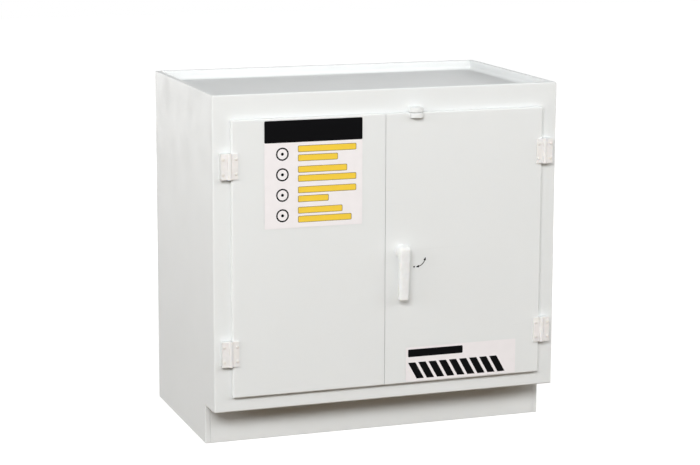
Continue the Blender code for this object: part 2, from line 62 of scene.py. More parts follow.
CAMERA_ELEVATION = radians(10.13)
CAMERA_ROLL = radians(0.18)
SENSOR_WIDTH_MM = 36

# Lamps, aimed at one place: azimuth and elevation in degrees, distance, width and height, and watts
LAMP_AIM = (0, -0.1, 0.45)
LAMPS = {
    "key": (-28, 28, 8.0, (4.2, 1.7), 444),
    "left": (-72, 14, 6.0, (3.0, 1.4), 92),
    "right_front": (34, 29, 6.0, (6.0, 1.6), 94),
    "right": (74, 15, 6.0, (5.0, 2.0), 92),
    "back": (205, 5, 6.0, (3.0, 1.6), 100),
    "back_right": (130, 13, 6.0, (3.0, 1.6), 128),
}
WORLD_STRENGTH = 0.10

# Floor: what the camera sees of it, near and far off, and the duller one that sends light back
FLOOR_REACH = 12
FLOOR_NEAR = 0.8
FLOOR_NEAR_GLOW = 0.70
FLOOR_FAR = 2.6
FLOOR_FAR_GLOW = 1.0
FLOOR_LIT = 0.55
FLOOR_BOUNCE = (0.14, 0.09, 0.04)

# Colours
SHEET_WHITE = (0.795, 0.813, 0.81)
MOULDED_WHITE = (0.84, 0.85, 0.845)
NATURAL_WHITE = (0.85, 0.835, 0.82)
SCREW_NYLON = (0.82, 0.79, 0.75)
VINYL_WHITE = (0.88, 0.85, 0.86)
INK_BLACK = (0.003, 0.003, 0.0035)
INK_AMBER = (0.88, 0.60, 0.04)
INK_OLIVE = (0.20, 0.14, 0.01)

# The part of a noise's range that is used, the sheets' scuffs, and their waves as a share of their grain
CLOUD_SPREAD = (0.3, 0.7)
SCUFF_SPREAD = (0.70, 0.74)
SCUFF_TURN = (0.3, 0.5, 0.4)
SCUFF_SCALE = (8, 160, 160)
SCUFF_STRENGTH = 0.12
SCUFF_SHADE = 0.86
WAVE_SHARE = 6

# Facets of round shapes, and the angle from which an edge stays sharp or is rounded once more
ROUND_SIDES = 64
SMALL_SIDES = 40
EDGE_STEPS = 4
SHARP_ANGLE = radians(32)
CORNER_ANGLE = radians(60)
WELD_DISTANCE = 0.00002
FLAT_ANGLE = radians(0.3)
OVERRUN = 0.004

# Edges
PANEL_ROUND = 0.0015
DOOR_ROUND = 0.0035
FRAME_ROUND = 0.0035
BACK_ROUND = 0.0004
FITTING_ROUND = 0.0006

# Fit of the doors and of the fittings
DOOR_OVERLAP = 0.013
POST_WIDTH = 0.044
FITTING_GAP = 0.0003

# Hinge leaves
LEAF_REACH = 0.0215
LEAF_THICKNESS = 0.004
LEAF_ROUND = 0.0005
KNUCKLE_RADIUS = 0.0048
KNUCKLE_MIDDLE = 0.0265
KNUCKLE_PLAY = 0.0004
KNUCKLE_FILLET = 0.0016
KNUCKLE_STEPS = 40
FILLET_STEPS = 8

# Hinge pins, and the rings of their round ends as shares of the radius
PIN_RADIUS = 0.0024
PIN_DOME = 0.0006
PIN_DOME_SHARES = (0.35, 0.6, 0.8, 0.92)

# Hinge screws, their places from the pin, and the turn of each cross recess
SCREW_REACH = 0.0165
SCREW_RISE = 0.0185
SCREW_RADIUS = 0.0019
SCREW_HEAD_RADIUS = 0.0038
SCREW_HEAD_HEIGHT = 0.002
SCREW_HEAD_EDGE = 0.0005
HEAD_STEPS = 12
RECESS_WIDTH = 0.0011
RECESS_SPAN = 0.0046
RECESS_DEPTH = 0.0013
RECESS_OVERRUN = 0.0005
RECESS_MOUTH_SHARE = 1.1
RECESS_END_SHARE = 0.55
SCREW_TURNS = (1.1, 0.7, 1.4, 0.1, 0.9, 1.25, 0.5, 0.3)
THREAD_PLAY = 0.0003

# Lever
LEVER_WIDTH = 0.029
LEVER_END_WIDTH = 0.024
LEVER_END_THICKNESS = 0.019
LEVER_OUTER_KNEE = 0.010
LEVER_INNER_KNEE = 0.003
LEVER_NECK = 0.002
LEVER_END_ROUND = 0.005
LEVER_SQUARENESS = 4
LEVER_SOCKET_DEPTH = 0.016
KNEE_STEPS = 14
GRIP_STEPS = 16
END_STEPS = 8

# The rest of the latch
BUSH_RADIUS = 0.009
FLANGE_ROUND = 0.0015
FLANGE_STEPS = 6
SHAFT_RADIUS = 0.006
COLLAR_RADIUS = 0.0095
RUNNING_GAP = 0.0004
TONGUE_TIP_RADIUS = 0.008
TONGUE_ROUND = 0.0012
NUT_SIDES = 6

# Padlock ears
EAR_WIDTH = 0.034
EAR_ROUND = 0.002
SHACKLE_HOLE_RADIUS = 0.005
SHACKLE_HOLE_WALL = 0.0055
HOLE_CHAMFER = 0.0008

# Knob of the slide bolt, as shares of its radius and its length, and its rim's rings in half turns
KNOB_WAIST_SHARES = ((0.8, 0), (0.72, 0.25), (0.8, 0.5))
KNOB_RIM_MIDDLE_SHARES = (0.85, 0.8)
KNOB_RIM_REACH_SHARES = (0.15, 0.2)
KNOB_RIM_TURNS = (0.15, 0.3, 0.5, 0.7, 0.85)
KNOB_END_SHARES = (0.5, 0.99)

# Weld beads in the corners, with their ripples and the slow drift of their edges
CORNER_BEAD = 0.006
BEAD_STEPS = 7
BEAD_STATION = 0.003
BEAD_FADE = 0.02
RIPPLE_PITCH = 0.0085
RIPPLE_RISE = 0.0002
DRIFT_REACH = 0.0003
DRIFT_SCALE = 35
DRIFT_PLACE = (0.4, 0.9)

# Labels: the film, the ink on it, their round corners, and the labels' left, right, low and high edges
FILM = 0.00025
INK = 0.00006
FILM_CORNER = 0.003
UPPER_LABEL = (-0.3295, -0.0755, 0.5610, 0.8290)
LOWER_LABEL = (0.0440, 0.3474, 0.1440, 0.2335)

# Upper label: a band over rows of a ringed spot and two bars, each from start to stop off the left edge
UPPER_BAND_LOW = 0.7740
ROW_MARGIN = 0.0085
ROW_PITCH = 0.0510
ROW_BARS = (((0.086, 0.238), (0.086, 0.190)), ((0.086, 0.214), (0.086, 0.238)),
            ((0.086, 0.238), (0.086, 0.166)), ((0.086, 0.202), (0.086, 0.226)))
BAR_HEIGHT = 0.0165
BAR_PITCH = 0.0225
BAR_OUTLINE = 0.0014
SPOT_LEFT = 0.046
SPOT_RADIUS = 0.0165
SPOT_RING = 0.0038
SPOT_DOT_RADIUS = 0.0038
SPOT_ROUND_SHARE = 0.98

# Lower label: slanted stripes under a bar
LABEL_MARGIN = 0.006
STRIPE_WIDTH = 0.0200
STRIPE_GAP = 0.0080
STRIPE_SLANT = 0.0240
STRIPE_RISE = 0.0430
TOP_BAR_LENGTH = 0.150
TOP_BAR_RISE = 0.0200

# The mark beside the lever
MARK_CENTRE = (0.0720, 0.4640)
MARK_RADIUS = 0.0220
MARK_ANGLES = (radians(-76), radians(-18))
MARK_LINE = 0.0019
MARK_HEAD = 0.0068
MARK_HEAD_LENGTH = 0.0085
MARK_DOT = (0.0644, 0.4418)
MARK_DOT_RADIUS = MARK_HEAD / 3
MARK_DOT_SIDES = 16


def feed(tree, node, inputs):
    """Give a shader node's inputs their values, or link them to sockets."""
    for name, value in inputs.items():
        if isinstance(value, bpy.types.NodeSocket):
            tree.links.new(value, node.inputs[name])
        else:
            node.inputs[name].default_value = value


def add_node(tree, kind, inputs=None, **settings):
    """A shader node with its settings and its inputs."""
    node = tree.nodes.new(f"ShaderNode{kind}")
    for name, value in settings.items():
        setattr(node, name, value)
    feed(tree, node, inputs or {})
    return node


def new_material(name):
    """A material with its node tree, its Principled shader and its place on the object."""
    made = bpy.data.materials.new(name)
    made.use_nodes = True
    tree = made.node_tree
    place = add_node(tree, "TexCoord").outputs["Object"]
    return made, tree, tree.nodes["Principled BSDF"], place


def cloud(tree, place, scale, detail=3):
    """Noise between 0 and 1, with scale features to a metre."""
    return add_node(tree, "TexNoise", {"Vector": place, "Scale": scale, "Detail": detail}).outputs["Fac"]


def remap(tree, value, low, high, new_low=0, new_high=1):
    """A value taken from one range to another and held inside it."""
    inputs = {"Value": value, "From Min": low, "From Max": high, "To Min": new_low, "To Max": new_high}
    return add_node(tree, "MapRange", inputs).outputs["Result"]


def mottle(tree, place, scale, low=0, high=1, detail=3, spread=CLOUD_SPREAD):
    """Soft clouds that run from low to high, with scale features to a metre."""
    return remap(tree, cloud(tree, place, scale, detail), *spread, low, high)


def blend_colours(tree, share, first, second):
    """The first colour where share is 0 and the second where it is 1."""
    node = add_node(tree, "Mix", data_type="RGBA")
    for socket, value in (("Factor_Float", share), ("A_Color", first), ("B_Color", second)):
        target = next(item for item in node.inputs if item.identifier == socket)
        if isinstance(value, bpy.types.NodeSocket):
            tree.links.new(value, target)
        else:
            target.default_value = (*value, 1) if isinstance(value, tuple) else value
    return next(item for item in node.outputs if item.identifier == "Result_Color")


def tint(colour, share):
    """A colour scaled by a share."""
    return tuple(part * share for part in colour)


def shaded(tree, tone, colour, dark, light):
    """A colour between two shares of itself, dark where the tone is 0 and light where it is 1."""
    return blend_colours(tree, tone, tint(colour, dark), tint(colour, light))


def relief(tree, height, strength, distance):
    """The normals of a surface with a fine relief, from a height between 0 and 1."""
    inputs = {"Height": height, "Strength": strength, "Distance": distance}
    return add_node(tree, "Bump", inputs).outputs["Normal"]


def scuffs(tree, place):
    """Thin faint streaks in one direction: 1 on a streak and 0 beside it."""
    inputs = {"Vector": place, "Rotation": SCUFF_TURN, "Scale": SCUFF_SCALE}
    stretched = add_node(tree, "Mapping", inputs).outputs["Vector"]
    return mottle(tree, stretched, scale=1, detail=2, spread=SCUFF_SPREAD)


def sheet_plastic(name, scatter):
    """Polyethylene sheet: satin, faintly clouded and scuffed, with a pressed grain; it may scatter light."""
    made, tree, shader, place = new_material(name)
    tone = mottle(tree, place, scale=2.2, detail=4)
    clouded = shaded(tree, tone, SHEET_WHITE, dark=0.99, light=1.005)
    scuffed = remap(tree, scuffs(tree, place), 0, 1, 0, SCUFF_STRENGTH)
    grain = cloud(tree, place, scale=700, detail=2)
    wave = cloud(tree, place, scale=9, detail=2)
    height = add_node(tree, "Math", {0: wave, 1: WAVE_SHARE, 2: grain}, operation="MULTIPLY_ADD")
    feed(tree, shader, {
        "Base Color": blend_colours(tree, scuffed, clouded, tint(SHEET_WHITE, SCUFF_SHADE)),
        "Roughness": mottle(tree, place, scale=14, low=0.56, high=0.66, detail=4, spread=(0.35, 0.65)),
        "Normal": relief(tree, height.outputs["Value"], strength=0.35, distance=0.00006),
        "Specular IOR Level": 0.5,
        "Subsurface Weight": scatter,
        "Subsurface Radius": (1, 0.97, 0.94),
        "Subsurface Scale": 0.008,
    })
    return made


def moulded_plastic(name, colour, roughness):
    """Moulded fittings: smoother and a little clearer than the sheet, with faint flow clouds."""
    made, tree, shader, place = new_material(name)
    tone = mottle(tree, place, scale=60)
    low, high = roughness
    feed(tree, shader, {
        "Base Color": shaded(tree, tone, colour, dark=0.95, light=1.02),
        "Roughness": mottle(tree, place, scale=160, low=low, high=high),
        "Normal": relief(tree, cloud(tree, place, scale=1500, detail=2), strength=0.3, distance=0.00003),
        "Specular IOR Level": 0.35,
        "Subsurface Weight": 0.2,
        "Subsurface Radius": (1, 0.8, 0.6),
        "Subsurface Scale": 0.004,
    })
    return made


def printed_vinyl(name, colour, roughness=(0.28, 0.36), shine=0.5):
    """Label film or the ink on it: even, fairly glossy, with a trace of waviness."""
    made, tree, shader, place = new_material(name)
    tone = mottle(tree, place, scale=40)
    low, high = roughness
    feed(tree, shader, {
        "Base Color": shaded(tree, tone, colour, dark=0.97, light=1),
        "Roughness": mottle(tree, place, scale=90, low=low, high=high),
        "Normal": relief(tree, cloud(tree, place, scale=55, detail=1), strength=0.25, distance=0.0002),
        "Specular IOR Level": shine,
    })
    return made


# Beads get no scattered light, because their thin edges would lose it and show as a dark line
MATERIALS = {
    "white_polyethylene": sheet_plastic("polyethylene_sheet", scatter=0.5),
    "weld": sheet_plastic("polyethylene_weld", scatter=0),
    "white_moulding": moulded_plastic("white_moulding", MOULDED_WHITE, roughness=(0.37, 0.49)),
    "natural_moulding": moulded_plastic("natural_moulding", NATURAL_WHITE, roughness=(0.37, 0.49)),
    "screw_nylon": moulded_plastic("screw_nylon", SCREW_NYLON, roughness=(0.35, 0.47)),
    "vinyl": printed_vinyl("label_vinyl", VINYL_WHITE),
    "black": printed_vinyl("label_black", INK_BLACK, roughness=(0.45, 0.53), shine=0.03),
    "amber": printed_vinyl("label_amber", INK_AMBER),
    "olive": printed_vinyl("label_olive", INK_OLIVE),
}
SLOTS = {part["node"]: part["material_slot"] for part in frame["record"]["subparts"]}
BODIES = {node: body for body, nodes in frame["record"]["behaviour"]["bodies"].items() for node in nodes}


def dress_nodes():
    """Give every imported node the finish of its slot."""
    for name, item in frame["nodes"].items():
        item.data.materials.clear()
        item.data.materials.append(MATERIALS[SLOTS[name]])


def box(low, high):
    """A cuboid between two corners."""
    low, high = Vector(low), Vector(high)
    shape = bmesh.new()
    bmesh.ops.create_cube(shape, size=1)
    bmesh.ops.scale(shape, verts=shape.verts, vec=high - low)
    bmesh.ops.translate(shape, verts=shape.verts, vec=(low + high) / 2)
    return shape


def skin(rings, closed=False):
    """A skin over rings with equally many points: capped at both ends, or closed into a loop."""
    shape = bmesh.new()
    rows = [[shape.verts.new(point) for point in ring] for ring in rings]
    following = rows[1:] + rows[:1] if closed else rows[1:]
    for row, after in zip(rows, following):
        for index in range(len(row)):
            shape.faces.new((row[index - 1], row[index], after[index], after[index - 1]))
    if not closed:
        shape.faces.new(rows[0])
        shape.faces.new(rows[-1])
    return shape


def prism(outline, start, stop, axis):
    """A flat outline run along X, Y or Z from start to stop."""
    spot = "XYZ".index(axis)
    return skin([[(*point[:spot], along, *point[spot:]) for point in outline] for along in (start, stop)])


def turned(profile, centre, axis, sides):
    """Points of radius and distance along Y or Z, turned about that axis; the first and last are on it."""
    shape = bmesh.new()
    rows = []
    for radius, along in profile:
        row = []
        for index in range(sides if radius else 1):
            angle = 2 * pi * index / sides
            across, up = radius * cos(angle), radius * sin(angle)
            offset = (across, along, up) if axis == "Y" else (across, up, along)
            row.append(shape.verts.new(Vector(centre) + Vector(offset)))
        rows.append(row * sides if len(row) == 1 else row)
    for row, after in zip(rows, rows[1:]):
        for index in range(sides):
            around = (row[index - 1], row[index], after[index], after[index - 1])
            shape.faces.new(dict.fromkeys(around))
    return shape


def rod(centre, axis, radius, start, stop, sides=ROUND_SIDES):
    """A cylinder about an axis through the centre."""
    return turned([(0, start), (radius, start), (radius, stop), (0, stop)], centre, axis, sides)


def arc(centre, radius, start, stop, steps):
    """Points of a circular arc, both ends included."""
    angles = [start + (stop - start) * index / steps for index in range(steps + 1)]
    return [(centre[0] + radius * cos(angle), centre[1] + radius * sin(angle)) for angle in angles]


def join(shapes):
    """One bmesh with the bodies of several, which don't touch each other."""
    whole = bmesh.new()
    for shape in shapes:
        mesh = bpy.data.meshes.new("joined")
        shape.to_mesh(mesh)
        shape.free()
        whole.from_mesh(mesh)
        bpy.data.meshes.remove(mesh)
    return whole


def workpiece(shape):
    """An object of a bmesh, for modifiers to work on."""
    bmesh.ops.recalc_face_normals(shape, faces=shape.faces)
    mesh = bpy.data.meshes.new("workpiece")
    shape.to_mesh(mesh)
    shape.free()
    item = bpy.data.objects.new("workpiece", mesh)
    bpy.context.scene.collection.objects.link(item)
    return item


def discard(item):
    """Remove a workpiece with its mesh."""
    mesh = item.data
    bpy.data.objects.remove(item)
    bpy.data.meshes.remove(mesh)


def evaluated(item):
    """The mesh that an object's modifiers make of it."""
    graph = bpy.context.evaluated_depsgraph_get()
    graph.update()
    return bpy.data.meshes.new_from_object(item.evaluated_get(graph))


def worked(shape, steps=()):
    """A smooth mesh of a bmesh after its steps: a radius rounds the edges and a bmesh is cut out.

    After a cut only true corners are rounded, so that the facets of a round hole stay as they are.
    """
    item = workpiece(shape)
    cutters = []
    angle_limit = SHARP_ANGLE
    for step in steps:
        if isinstance(step, float):
            rounding = item.modifiers.new("round", "BEVEL")
            rounding.width = step
            rounding.segments = EDGE_STEPS
            rounding.limit_method = "ANGLE"
            rounding.angle_limit = angle_limit
        else:
            cutters.append(workpiece(step))
            cutting = item.modifiers.new("cut", "BOOLEAN")
            cutting.solver = "EXACT"
            cutting.object = cutters[-1]
            angle_limit = CORNER_ANGLE
    plain = evaluated(item)
    plain.shade_smooth()
    plain.set_sharp_from_angle(angle=SHARP_ANGLE)
    finished = bpy.data.objects.new("finished", plain)
    bpy.context.scene.collection.objects.link(finished)
    finished.modifiers.new("normals", "WEIGHTED_NORMAL").keep_sharp = True
    mesh = evaluated(finished)
    for helper in (item, finished, *cutters):
        discard(helper)
    return mesh


def add_piece(name, mesh, body, slot=None, nodes=(), materials=()):
    """Show a mesh as a piece that rides on a body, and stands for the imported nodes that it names."""
    mesh.name = name
    piece = bpy.data.objects.new(name, mesh)
    bpy.context.scene.collection.objects.link(piece)
    for key in materials or (slot,):
        mesh.materials.append(MATERIALS[key])
    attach(piece, body)
    if nodes:
        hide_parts(*nodes)


def refine(node, mesh, materials=()):
    """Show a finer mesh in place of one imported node, with its body and its finish."""
    add_piece(f"{node}_fine", mesh, BODIES[node], SLOTS[node], (node,), materials)


def corners(node):
    """A node's lowest and highest corner."""
    low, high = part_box(node)
    return Vector(low), Vector(high)


def centre_of(node):
    """The middle of a node's box."""
    low, high = corners(node)
    return (low + high) / 2


def plain_panel(node, radius=PANEL_ROUND):
    """Show a panel with finer round edges."""
    refine(node, worked(box(*corners(node)), [radius]))


def side_panel(node, inward):
    """Show a side panel notched for the toe kick, with round edges outside and small ones inside."""
    low, high = corners(node)
    kick_y, kick_z = corners("kick_board")[0].y, corners("face_frame")[0].z
    outer, inner = (low.x, high.x)[::inward]
    deep = inner + inward * PANEL_ROUND
    outline = [(low.y, kick_z), (low.y, high.z), (high.y, high.z), (high.y, 0), (kick_y, 0), (kick_y, kick_z)]
    start, stop = sorted((inner, deep + inward * OVERRUN))
    beyond = box((start, low.y - OVERRUN, low.z - OVERRUN), (stop, high.y + OVERRUN, high.z + OVERRUN))
    refine(node, worked(prism(outline, *sorted((outer, deep)), "X"), [PANEL_ROUND, beyond, BACK_ROUND]))


def front_sheet(node, radius, cuts, meeting=0):
    """Show a sheet with round edges in front, and small ones at its back, its cuts and where doors meet.

    The doors meet at the right edge of the sheet if meeting is 1, and at its left edge if it is -1.
    """
    low, high = corners(node)
    start = low + Vector((min(0, meeting) * radius, 0, 0))
    stop = high + Vector((max(0, meeting) * radius, radius, 0))
    past = Vector((OVERRUN, OVERRUN, OVERRUN))
    beyond = [box((start.x - OVERRUN, high.y, low.z - OVERRUN), stop + past)]
    if meeting:
        edge = high.x if meeting > 0 else start.x - OVERRUN
        beyond.append(box((edge, low.y - OVERRUN, low.z - OVERRUN),
                          (edge + radius + OVERRUN, stop.y + OVERRUN, high.z + OVERRUN)))
    refine(node, worked(box(start, stop), [radius, *cuts, *beyond, BACK_ROUND]))


def add_face_frame():
    """The front sheet of the case with its two openings."""
    low, high = corners("face_frame")
    left_low, left_high = corners("left_door")
    right_low, right_high = corners("right_door")
    meeting = (left_high.x + right_low.x) / 2
    spans = ((left_low.x + DOOR_OVERLAP, meeting - POST_WIDTH / 2),
             (meeting + POST_WIDTH / 2, right_high.x - DOOR_OVERLAP))
    bottom, top = left_low.z + DOOR_OVERLAP, left_high.z - DOOR_OVERLAP
    front, back = low.y - OVERRUN, high.y + FRAME_ROUND + OVERRUN
    openings = [box((start, front, bottom), (stop, back, top)) for start, stop in spans]
    front_sheet("face_frame", FRAME_ROUND, [join(openings)])


def add_case():
    """The welded panels of the case and the shelf, with soft edges, and the face frame."""
    for node in ("back_panel", "floor_panel", "top_panel", "shelf", "shelf_lip",
                 "shelf_cleat_left", "shelf_cleat_right", "shelf_cleat_back"):
        plain_panel(node)
    plain_panel("kick_board", BACK_ROUND)
    side_panel("side_panel_left", 1)
    side_panel("side_panel_right", -1)
    add_face_frame()


def latch_axis():
    """Where the latch's axis meets the front of the right door."""
    middle = centre_of("latch_shaft")
    return Vector((middle.x, corners("right_door")[0].y, middle.z))


def add_doors():
    """Flat doors with round edges; the right one has a hole for the latch's bush."""
    front_sheet("left_door", DOOR_ROUND, [], 1)
    low, high = corners("right_door")
    stop = high.y - low.y + DOOR_ROUND + OVERRUN
    hole = rod(latch_axis(), "Y", BUSH_RADIUS + FITTING_GAP, -OVERRUN, stop)
    front_sheet("right_door", DOOR_ROUND, [hole], -1)


def leaf_outline():
    """Half the section of a hinge: a knuckle about the pin, a fillet and a plate, to the right of it."""
    front = KNUCKLE_RADIUS - LEAF_THICKNESS
    deep = front - KNUCKLE_FILLET
    across = sqrt((KNUCKLE_RADIUS + KNUCKLE_FILLET) ** 2 - deep ** 2)
    lean = atan2(deep, across)
    knuckle = arc((0, 0), KNUCKLE_RADIUS, pi / 2, 2 * pi + lean, KNUCKLE_STEPS)
    fillet = arc((across, deep), KNUCKLE_FILLET, pi + lean, pi / 2, FILLET_STEPS)
    return [(LEAF_REACH, KNUCKLE_RADIUS), *knuckle, *fillet[1:], (LEAF_REACH, front)]


def screw_spots(pin, sign):
    """Places of the low and the high screw on one side of the pin."""
    return [pin + Vector((sign * SCREW_REACH, 0, rise)) for rise in (-SCREW_RISE, SCREW_RISE)]


def hinge_leaf(pin, sign, half, notches):
    """A hinge leaf on one side of the pin, notched where the other leaf's knuckles are."""
    outline = [(pin.x + sign * across, pin.y + along) for across, along in leaf_outline()]
    clear = KNUCKLE_RADIUS + KNUCKLE_PLAY
    reach = clear + OVERRUN
    left, right = sorted((pin.x - sign * reach, pin.x + sign * clear))
    cuts = join([box((left, pin.y - reach, pin.z + low), (right, pin.y + reach, pin.z + high))
                 for low, high in notches])
    holes = [rod(pin, "Z", PIN_RADIUS + KNUCKLE_PLAY, -half - OVERRUN, half + OVERRUN, SMALL_SIDES)]
    radius, stop = SCREW_RADIUS + THREAD_PLAY, KNUCKLE_RADIUS + OVERRUN
    holes += [rod(spot, "Y", radius, -OVERRUN, stop, SMALL_SIDES) for spot in screw_spots(pin, sign)]
    return worked(prism(outline, pin.z - half, pin.z + half, "Z"), [cuts, LEAF_ROUND, join(holes)])


def pin_mesh(pin, half):
    """A hinge pin that reaches past its leaves by its round ends."""
    profile = [(0, -half - PIN_DOME)]
    profile += [(PIN_RADIUS * share, -half - PIN_DOME * sqrt(1 - share ** 2)) for share in PIN_DOME_SHARES]
    profile.append((PIN_RADIUS, PIN_DOME - half))
    profile += [(radius, -along) for radius, along in reversed(profile)]
    return worked(turned(profile, pin, "Z", SMALL_SIDES))


def screw_mesh(seat, stop, turn):
    """A round-headed screw with a cross recess, from its head's seat to stop."""
    edge, height = SCREW_HEAD_EDGE, SCREW_HEAD_HEIGHT
    crown = (SCREW_HEAD_RADIUS ** 2 + (height - edge) ** 2) / (2 * (height - edge))
    profile = []
    for index in range(HEAD_STEPS + 1):
        across = SCREW_HEAD_RADIUS * index / HEAD_STEPS
        profile.append((across, crown - height - sqrt(crown ** 2 - across ** 2)))
    end = stop - seat.y
    profile += [(SCREW_HEAD_RADIUS, 0), (SCREW_RADIUS, 0), (SCREW_RADIUS, end), (0, end)]
    cross = []
    half, reach = RECESS_WIDTH / 2, RECESS_SPAN / 2
    for index in range(4):
        angle = turn + index * pi / 2
        for across, along in ((half, half), (half, reach), (-half, reach)):
            cross.append((across * cos(angle) - along * sin(angle), across * sin(angle) + along * cos(angle)))
    rings = [[(seat.x + across * share, seat.y + y, seat.z + up * share) for across, up in cross]
             for share, y in ((RECESS_MOUTH_SHARE, -height - RECESS_OVERRUN),
                              (RECESS_END_SHARE, -height + RECESS_DEPTH))]
    return worked(turned(profile, seat, "Y", SMALL_SIDES), [skin(rings)])


def add_hinge(name, inward, turns):
    """One hinge: spacer, two leaves with fillets at their knuckles, pin with round ends, screws."""
    pin = centre_of(f"{name}_hinge_pin")
    low, high = corners(f"{name}_frame_leaf")
    half = (high.z - low.z) / 2
    knuckle = KNUCKLE_MIDDLE / 2
    between = [(-knuckle - KNUCKLE_PLAY, knuckle + KNUCKLE_PLAY)]
    beyond = [(-half - OVERRUN, -knuckle), (knuckle, half + OVERRUN)]
    plain_panel(f"{name}_hinge_spacer", FITTING_ROUND)
    refine(f"{name}_frame_leaf", hinge_leaf(pin, -inward, half, between))
    refine(f"{name}_door_leaf", hinge_leaf(pin, inward, half, beyond))
    refine(f"{name}_hinge_pin", pin_mesh(pin, half))
    for leaf, sign in (("frame", -inward), ("door", inward)):
        for end, spot in zip(("low", "high"), screw_spots(pin, sign)):
            node = f"{name}_{leaf}_screw_{end}"
            front, stop = (corner.y for corner in corners(node))
            seat = Vector((spot.x, front + SCREW_HEAD_HEIGHT, spot.z))
            refine(node, screw_mesh(seat, stop, next(turns)))


def add_hinges():
    """Two hinges on each door, with each screw's recess at a turn of its own."""
    turns = cycle(SCREW_TURNS)
    for side, inward in (("left", 1), ("right", -1)):
        for level in ("lower", "upper"):
            add_hinge(f"{side}_{level}", inward, turns)


def lever_ring(axis, outer, inner, half_width, aside=0):
    """One ring of the lever, from a point of its outer line to one of its inner, moved left by aside."""
    ring = []
    for index in range(ROUND_SIDES):
        angle = 2 * pi * index / ROUND_SIDES
        across, along = (abs(part) ** (2 / LEVER_SQUARENESS) * (1 if part > 0 else -1)
                         for part in (cos(angle), sin(angle)))
        out, up = ((near + far) / 2 + along * (near - far) / 2 for near, far in zip(outer, inner))
        ring.append((axis.x - aside + half_width * across, axis.y - out, axis.z + up))
    return ring


def lever_mesh(axis):
    """The moulded lever: a head out from the door, a knee, and a wedge-shaped grip with a round end."""
    low, high = corners("lever")
    reach, drop, start = axis.y - low.y, axis.z - low.z, axis.y - high.y
    back = reach - LEVER_END_THICKNESS
    half, end = LEVER_WIDTH / 2, LEVER_END_WIDTH / 2
    knee_out = reach - LEVER_OUTER_KNEE, half - LEVER_OUTER_KNEE
    knee_in = start + LEVER_NECK, -half - LEVER_INNER_KNEE
    rings = [lever_ring(axis, (start, half), (start, -half), half)]
    outers = arc(knee_out, LEVER_OUTER_KNEE, pi / 2, 0, KNEE_STEPS)
    inners = arc(knee_in, LEVER_INNER_KNEE, pi / 2, 0, KNEE_STEPS)
    rings += [lever_ring(axis, outer, inner, half) for outer, inner in zip(outers, inners)]
    end_up = LEVER_END_ROUND - drop
    for index in range(1, GRIP_STEPS + 1):
        share = index / GRIP_STEPS
        outer, inner = ([first + share * (last - first) for first, last in zip(line[-1], (out, end_up))]
                        for line, out in ((outers, reach), (inners, back)))
        aside = share * (half - end)
        rings.append(lever_ring(axis, outer, inner, half - aside, aside))
    for out, up in arc((0, end_up), LEVER_END_ROUND, 0, -pi / 2, END_STEPS)[1:]:
        inset = LEVER_END_ROUND - out
        rings.append(lever_ring(axis, (reach - inset, up), (back + inset, up), end - inset, half - end))
    socket = rod(axis, "Y", SHAFT_RADIUS + FITTING_GAP, -start - LEVER_SOCKET_DEPTH, OVERRUN - start)
    return worked(skin(rings), [socket])


def bush_mesh(axis):
    """The latch's bush: a round flange before the door and a sleeve through it."""
    low, high = corners("latch_bush")
    flange = (high.x - low.x) / 2
    start, stop = low.y - axis.y, high.y - axis.y
    rim = (flange - FLANGE_ROUND, start + FLANGE_ROUND)
    profile = [(0, start), *arc(rim, FLANGE_ROUND, -pi / 2, 0, FLANGE_STEPS)]
    profile += [(flange, -FITTING_GAP), (BUSH_RADIUS, -FITTING_GAP), (BUSH_RADIUS, stop), (0, stop)]
    hole = rod(axis, "Y", SHAFT_RADIUS + RUNNING_GAP, start - OVERRUN, stop + OVERRUN)
    return worked(turned(profile, axis, "Y", ROUND_SIDES), [hole])


def shaft_mesh(axis):
    """The latch's shaft, with a collar between the door and the tongue."""
    start, stop = (corner.y - axis.y for corner in corners("latch_shaft"))
    door = corners("right_door")[1].y - axis.y + RUNNING_GAP
    collar = corners("latch_tongue")[0].y - axis.y - FITTING_GAP
    edge = FITTING_ROUND
    profile = [(0, start), (SHAFT_RADIUS, start), (SHAFT_RADIUS, door), (COLLAR_RADIUS - edge, door),
               (COLLAR_RADIUS, door + edge), (COLLAR_RADIUS, collar), (SHAFT_RADIUS, collar),
               (SHAFT_RADIUS, stop - edge), (SHAFT_RADIUS - edge, stop), (0, stop)]
    return worked(turned(profile, axis, "Y", ROUND_SIDES))


def shaft_bore(axis):
    """A cutter for what sits on the shaft behind the door."""
    start, stop = corners("right_door")[1].y - axis.y, corners("latch_shaft")[1].y - axis.y
    return rod(axis, "Y", SHAFT_RADIUS + FITTING_GAP, start, stop + OVERRUN)


def tongue_mesh(axis):
    """The latch's tongue: a round hub that tapers up to a smaller round tip."""
    low, high = corners("latch_tongue")
    hub, tip = (high.x - low.x) / 2, TONGUE_TIP_RADIUS
    length = high.z - tip - axis.z
    lean = asin((hub - tip) / length)
    outline = arc((axis.x, axis.z + length), tip, lean, pi - lean, ROUND_SIDES // 2)
    outline += arc((axis.x, axis.z), hub, pi - lean, 2 * pi + lean, ROUND_SIDES // 2)
    return worked(prism(outline, low.y, high.y, "Y"), [TONGUE_ROUND, shaft_bore(axis)])


def nut_mesh(axis):
    """The hexagon nut that holds the tongue on the shaft."""
    low, high = corners("latch_nut")
    flats = rod(axis, "Y", (high.x - low.x) / 2, low.y - axis.y, high.y - axis.y, NUT_SIDES)
    return worked(flats, [FITTING_ROUND, shaft_bore(axis)])


def add_latch():
    """The lever latch, whose pieces all lie on one axis."""
    axis = latch_axis()
    makers = {"lever": lever_mesh, "latch_bush": bush_mesh, "latch_shaft": shaft_mesh,
              "latch_tongue": tongue_mesh, "latch_nut": nut_mesh}
    for node, maker in makers.items():
        refine(node, maker(axis))


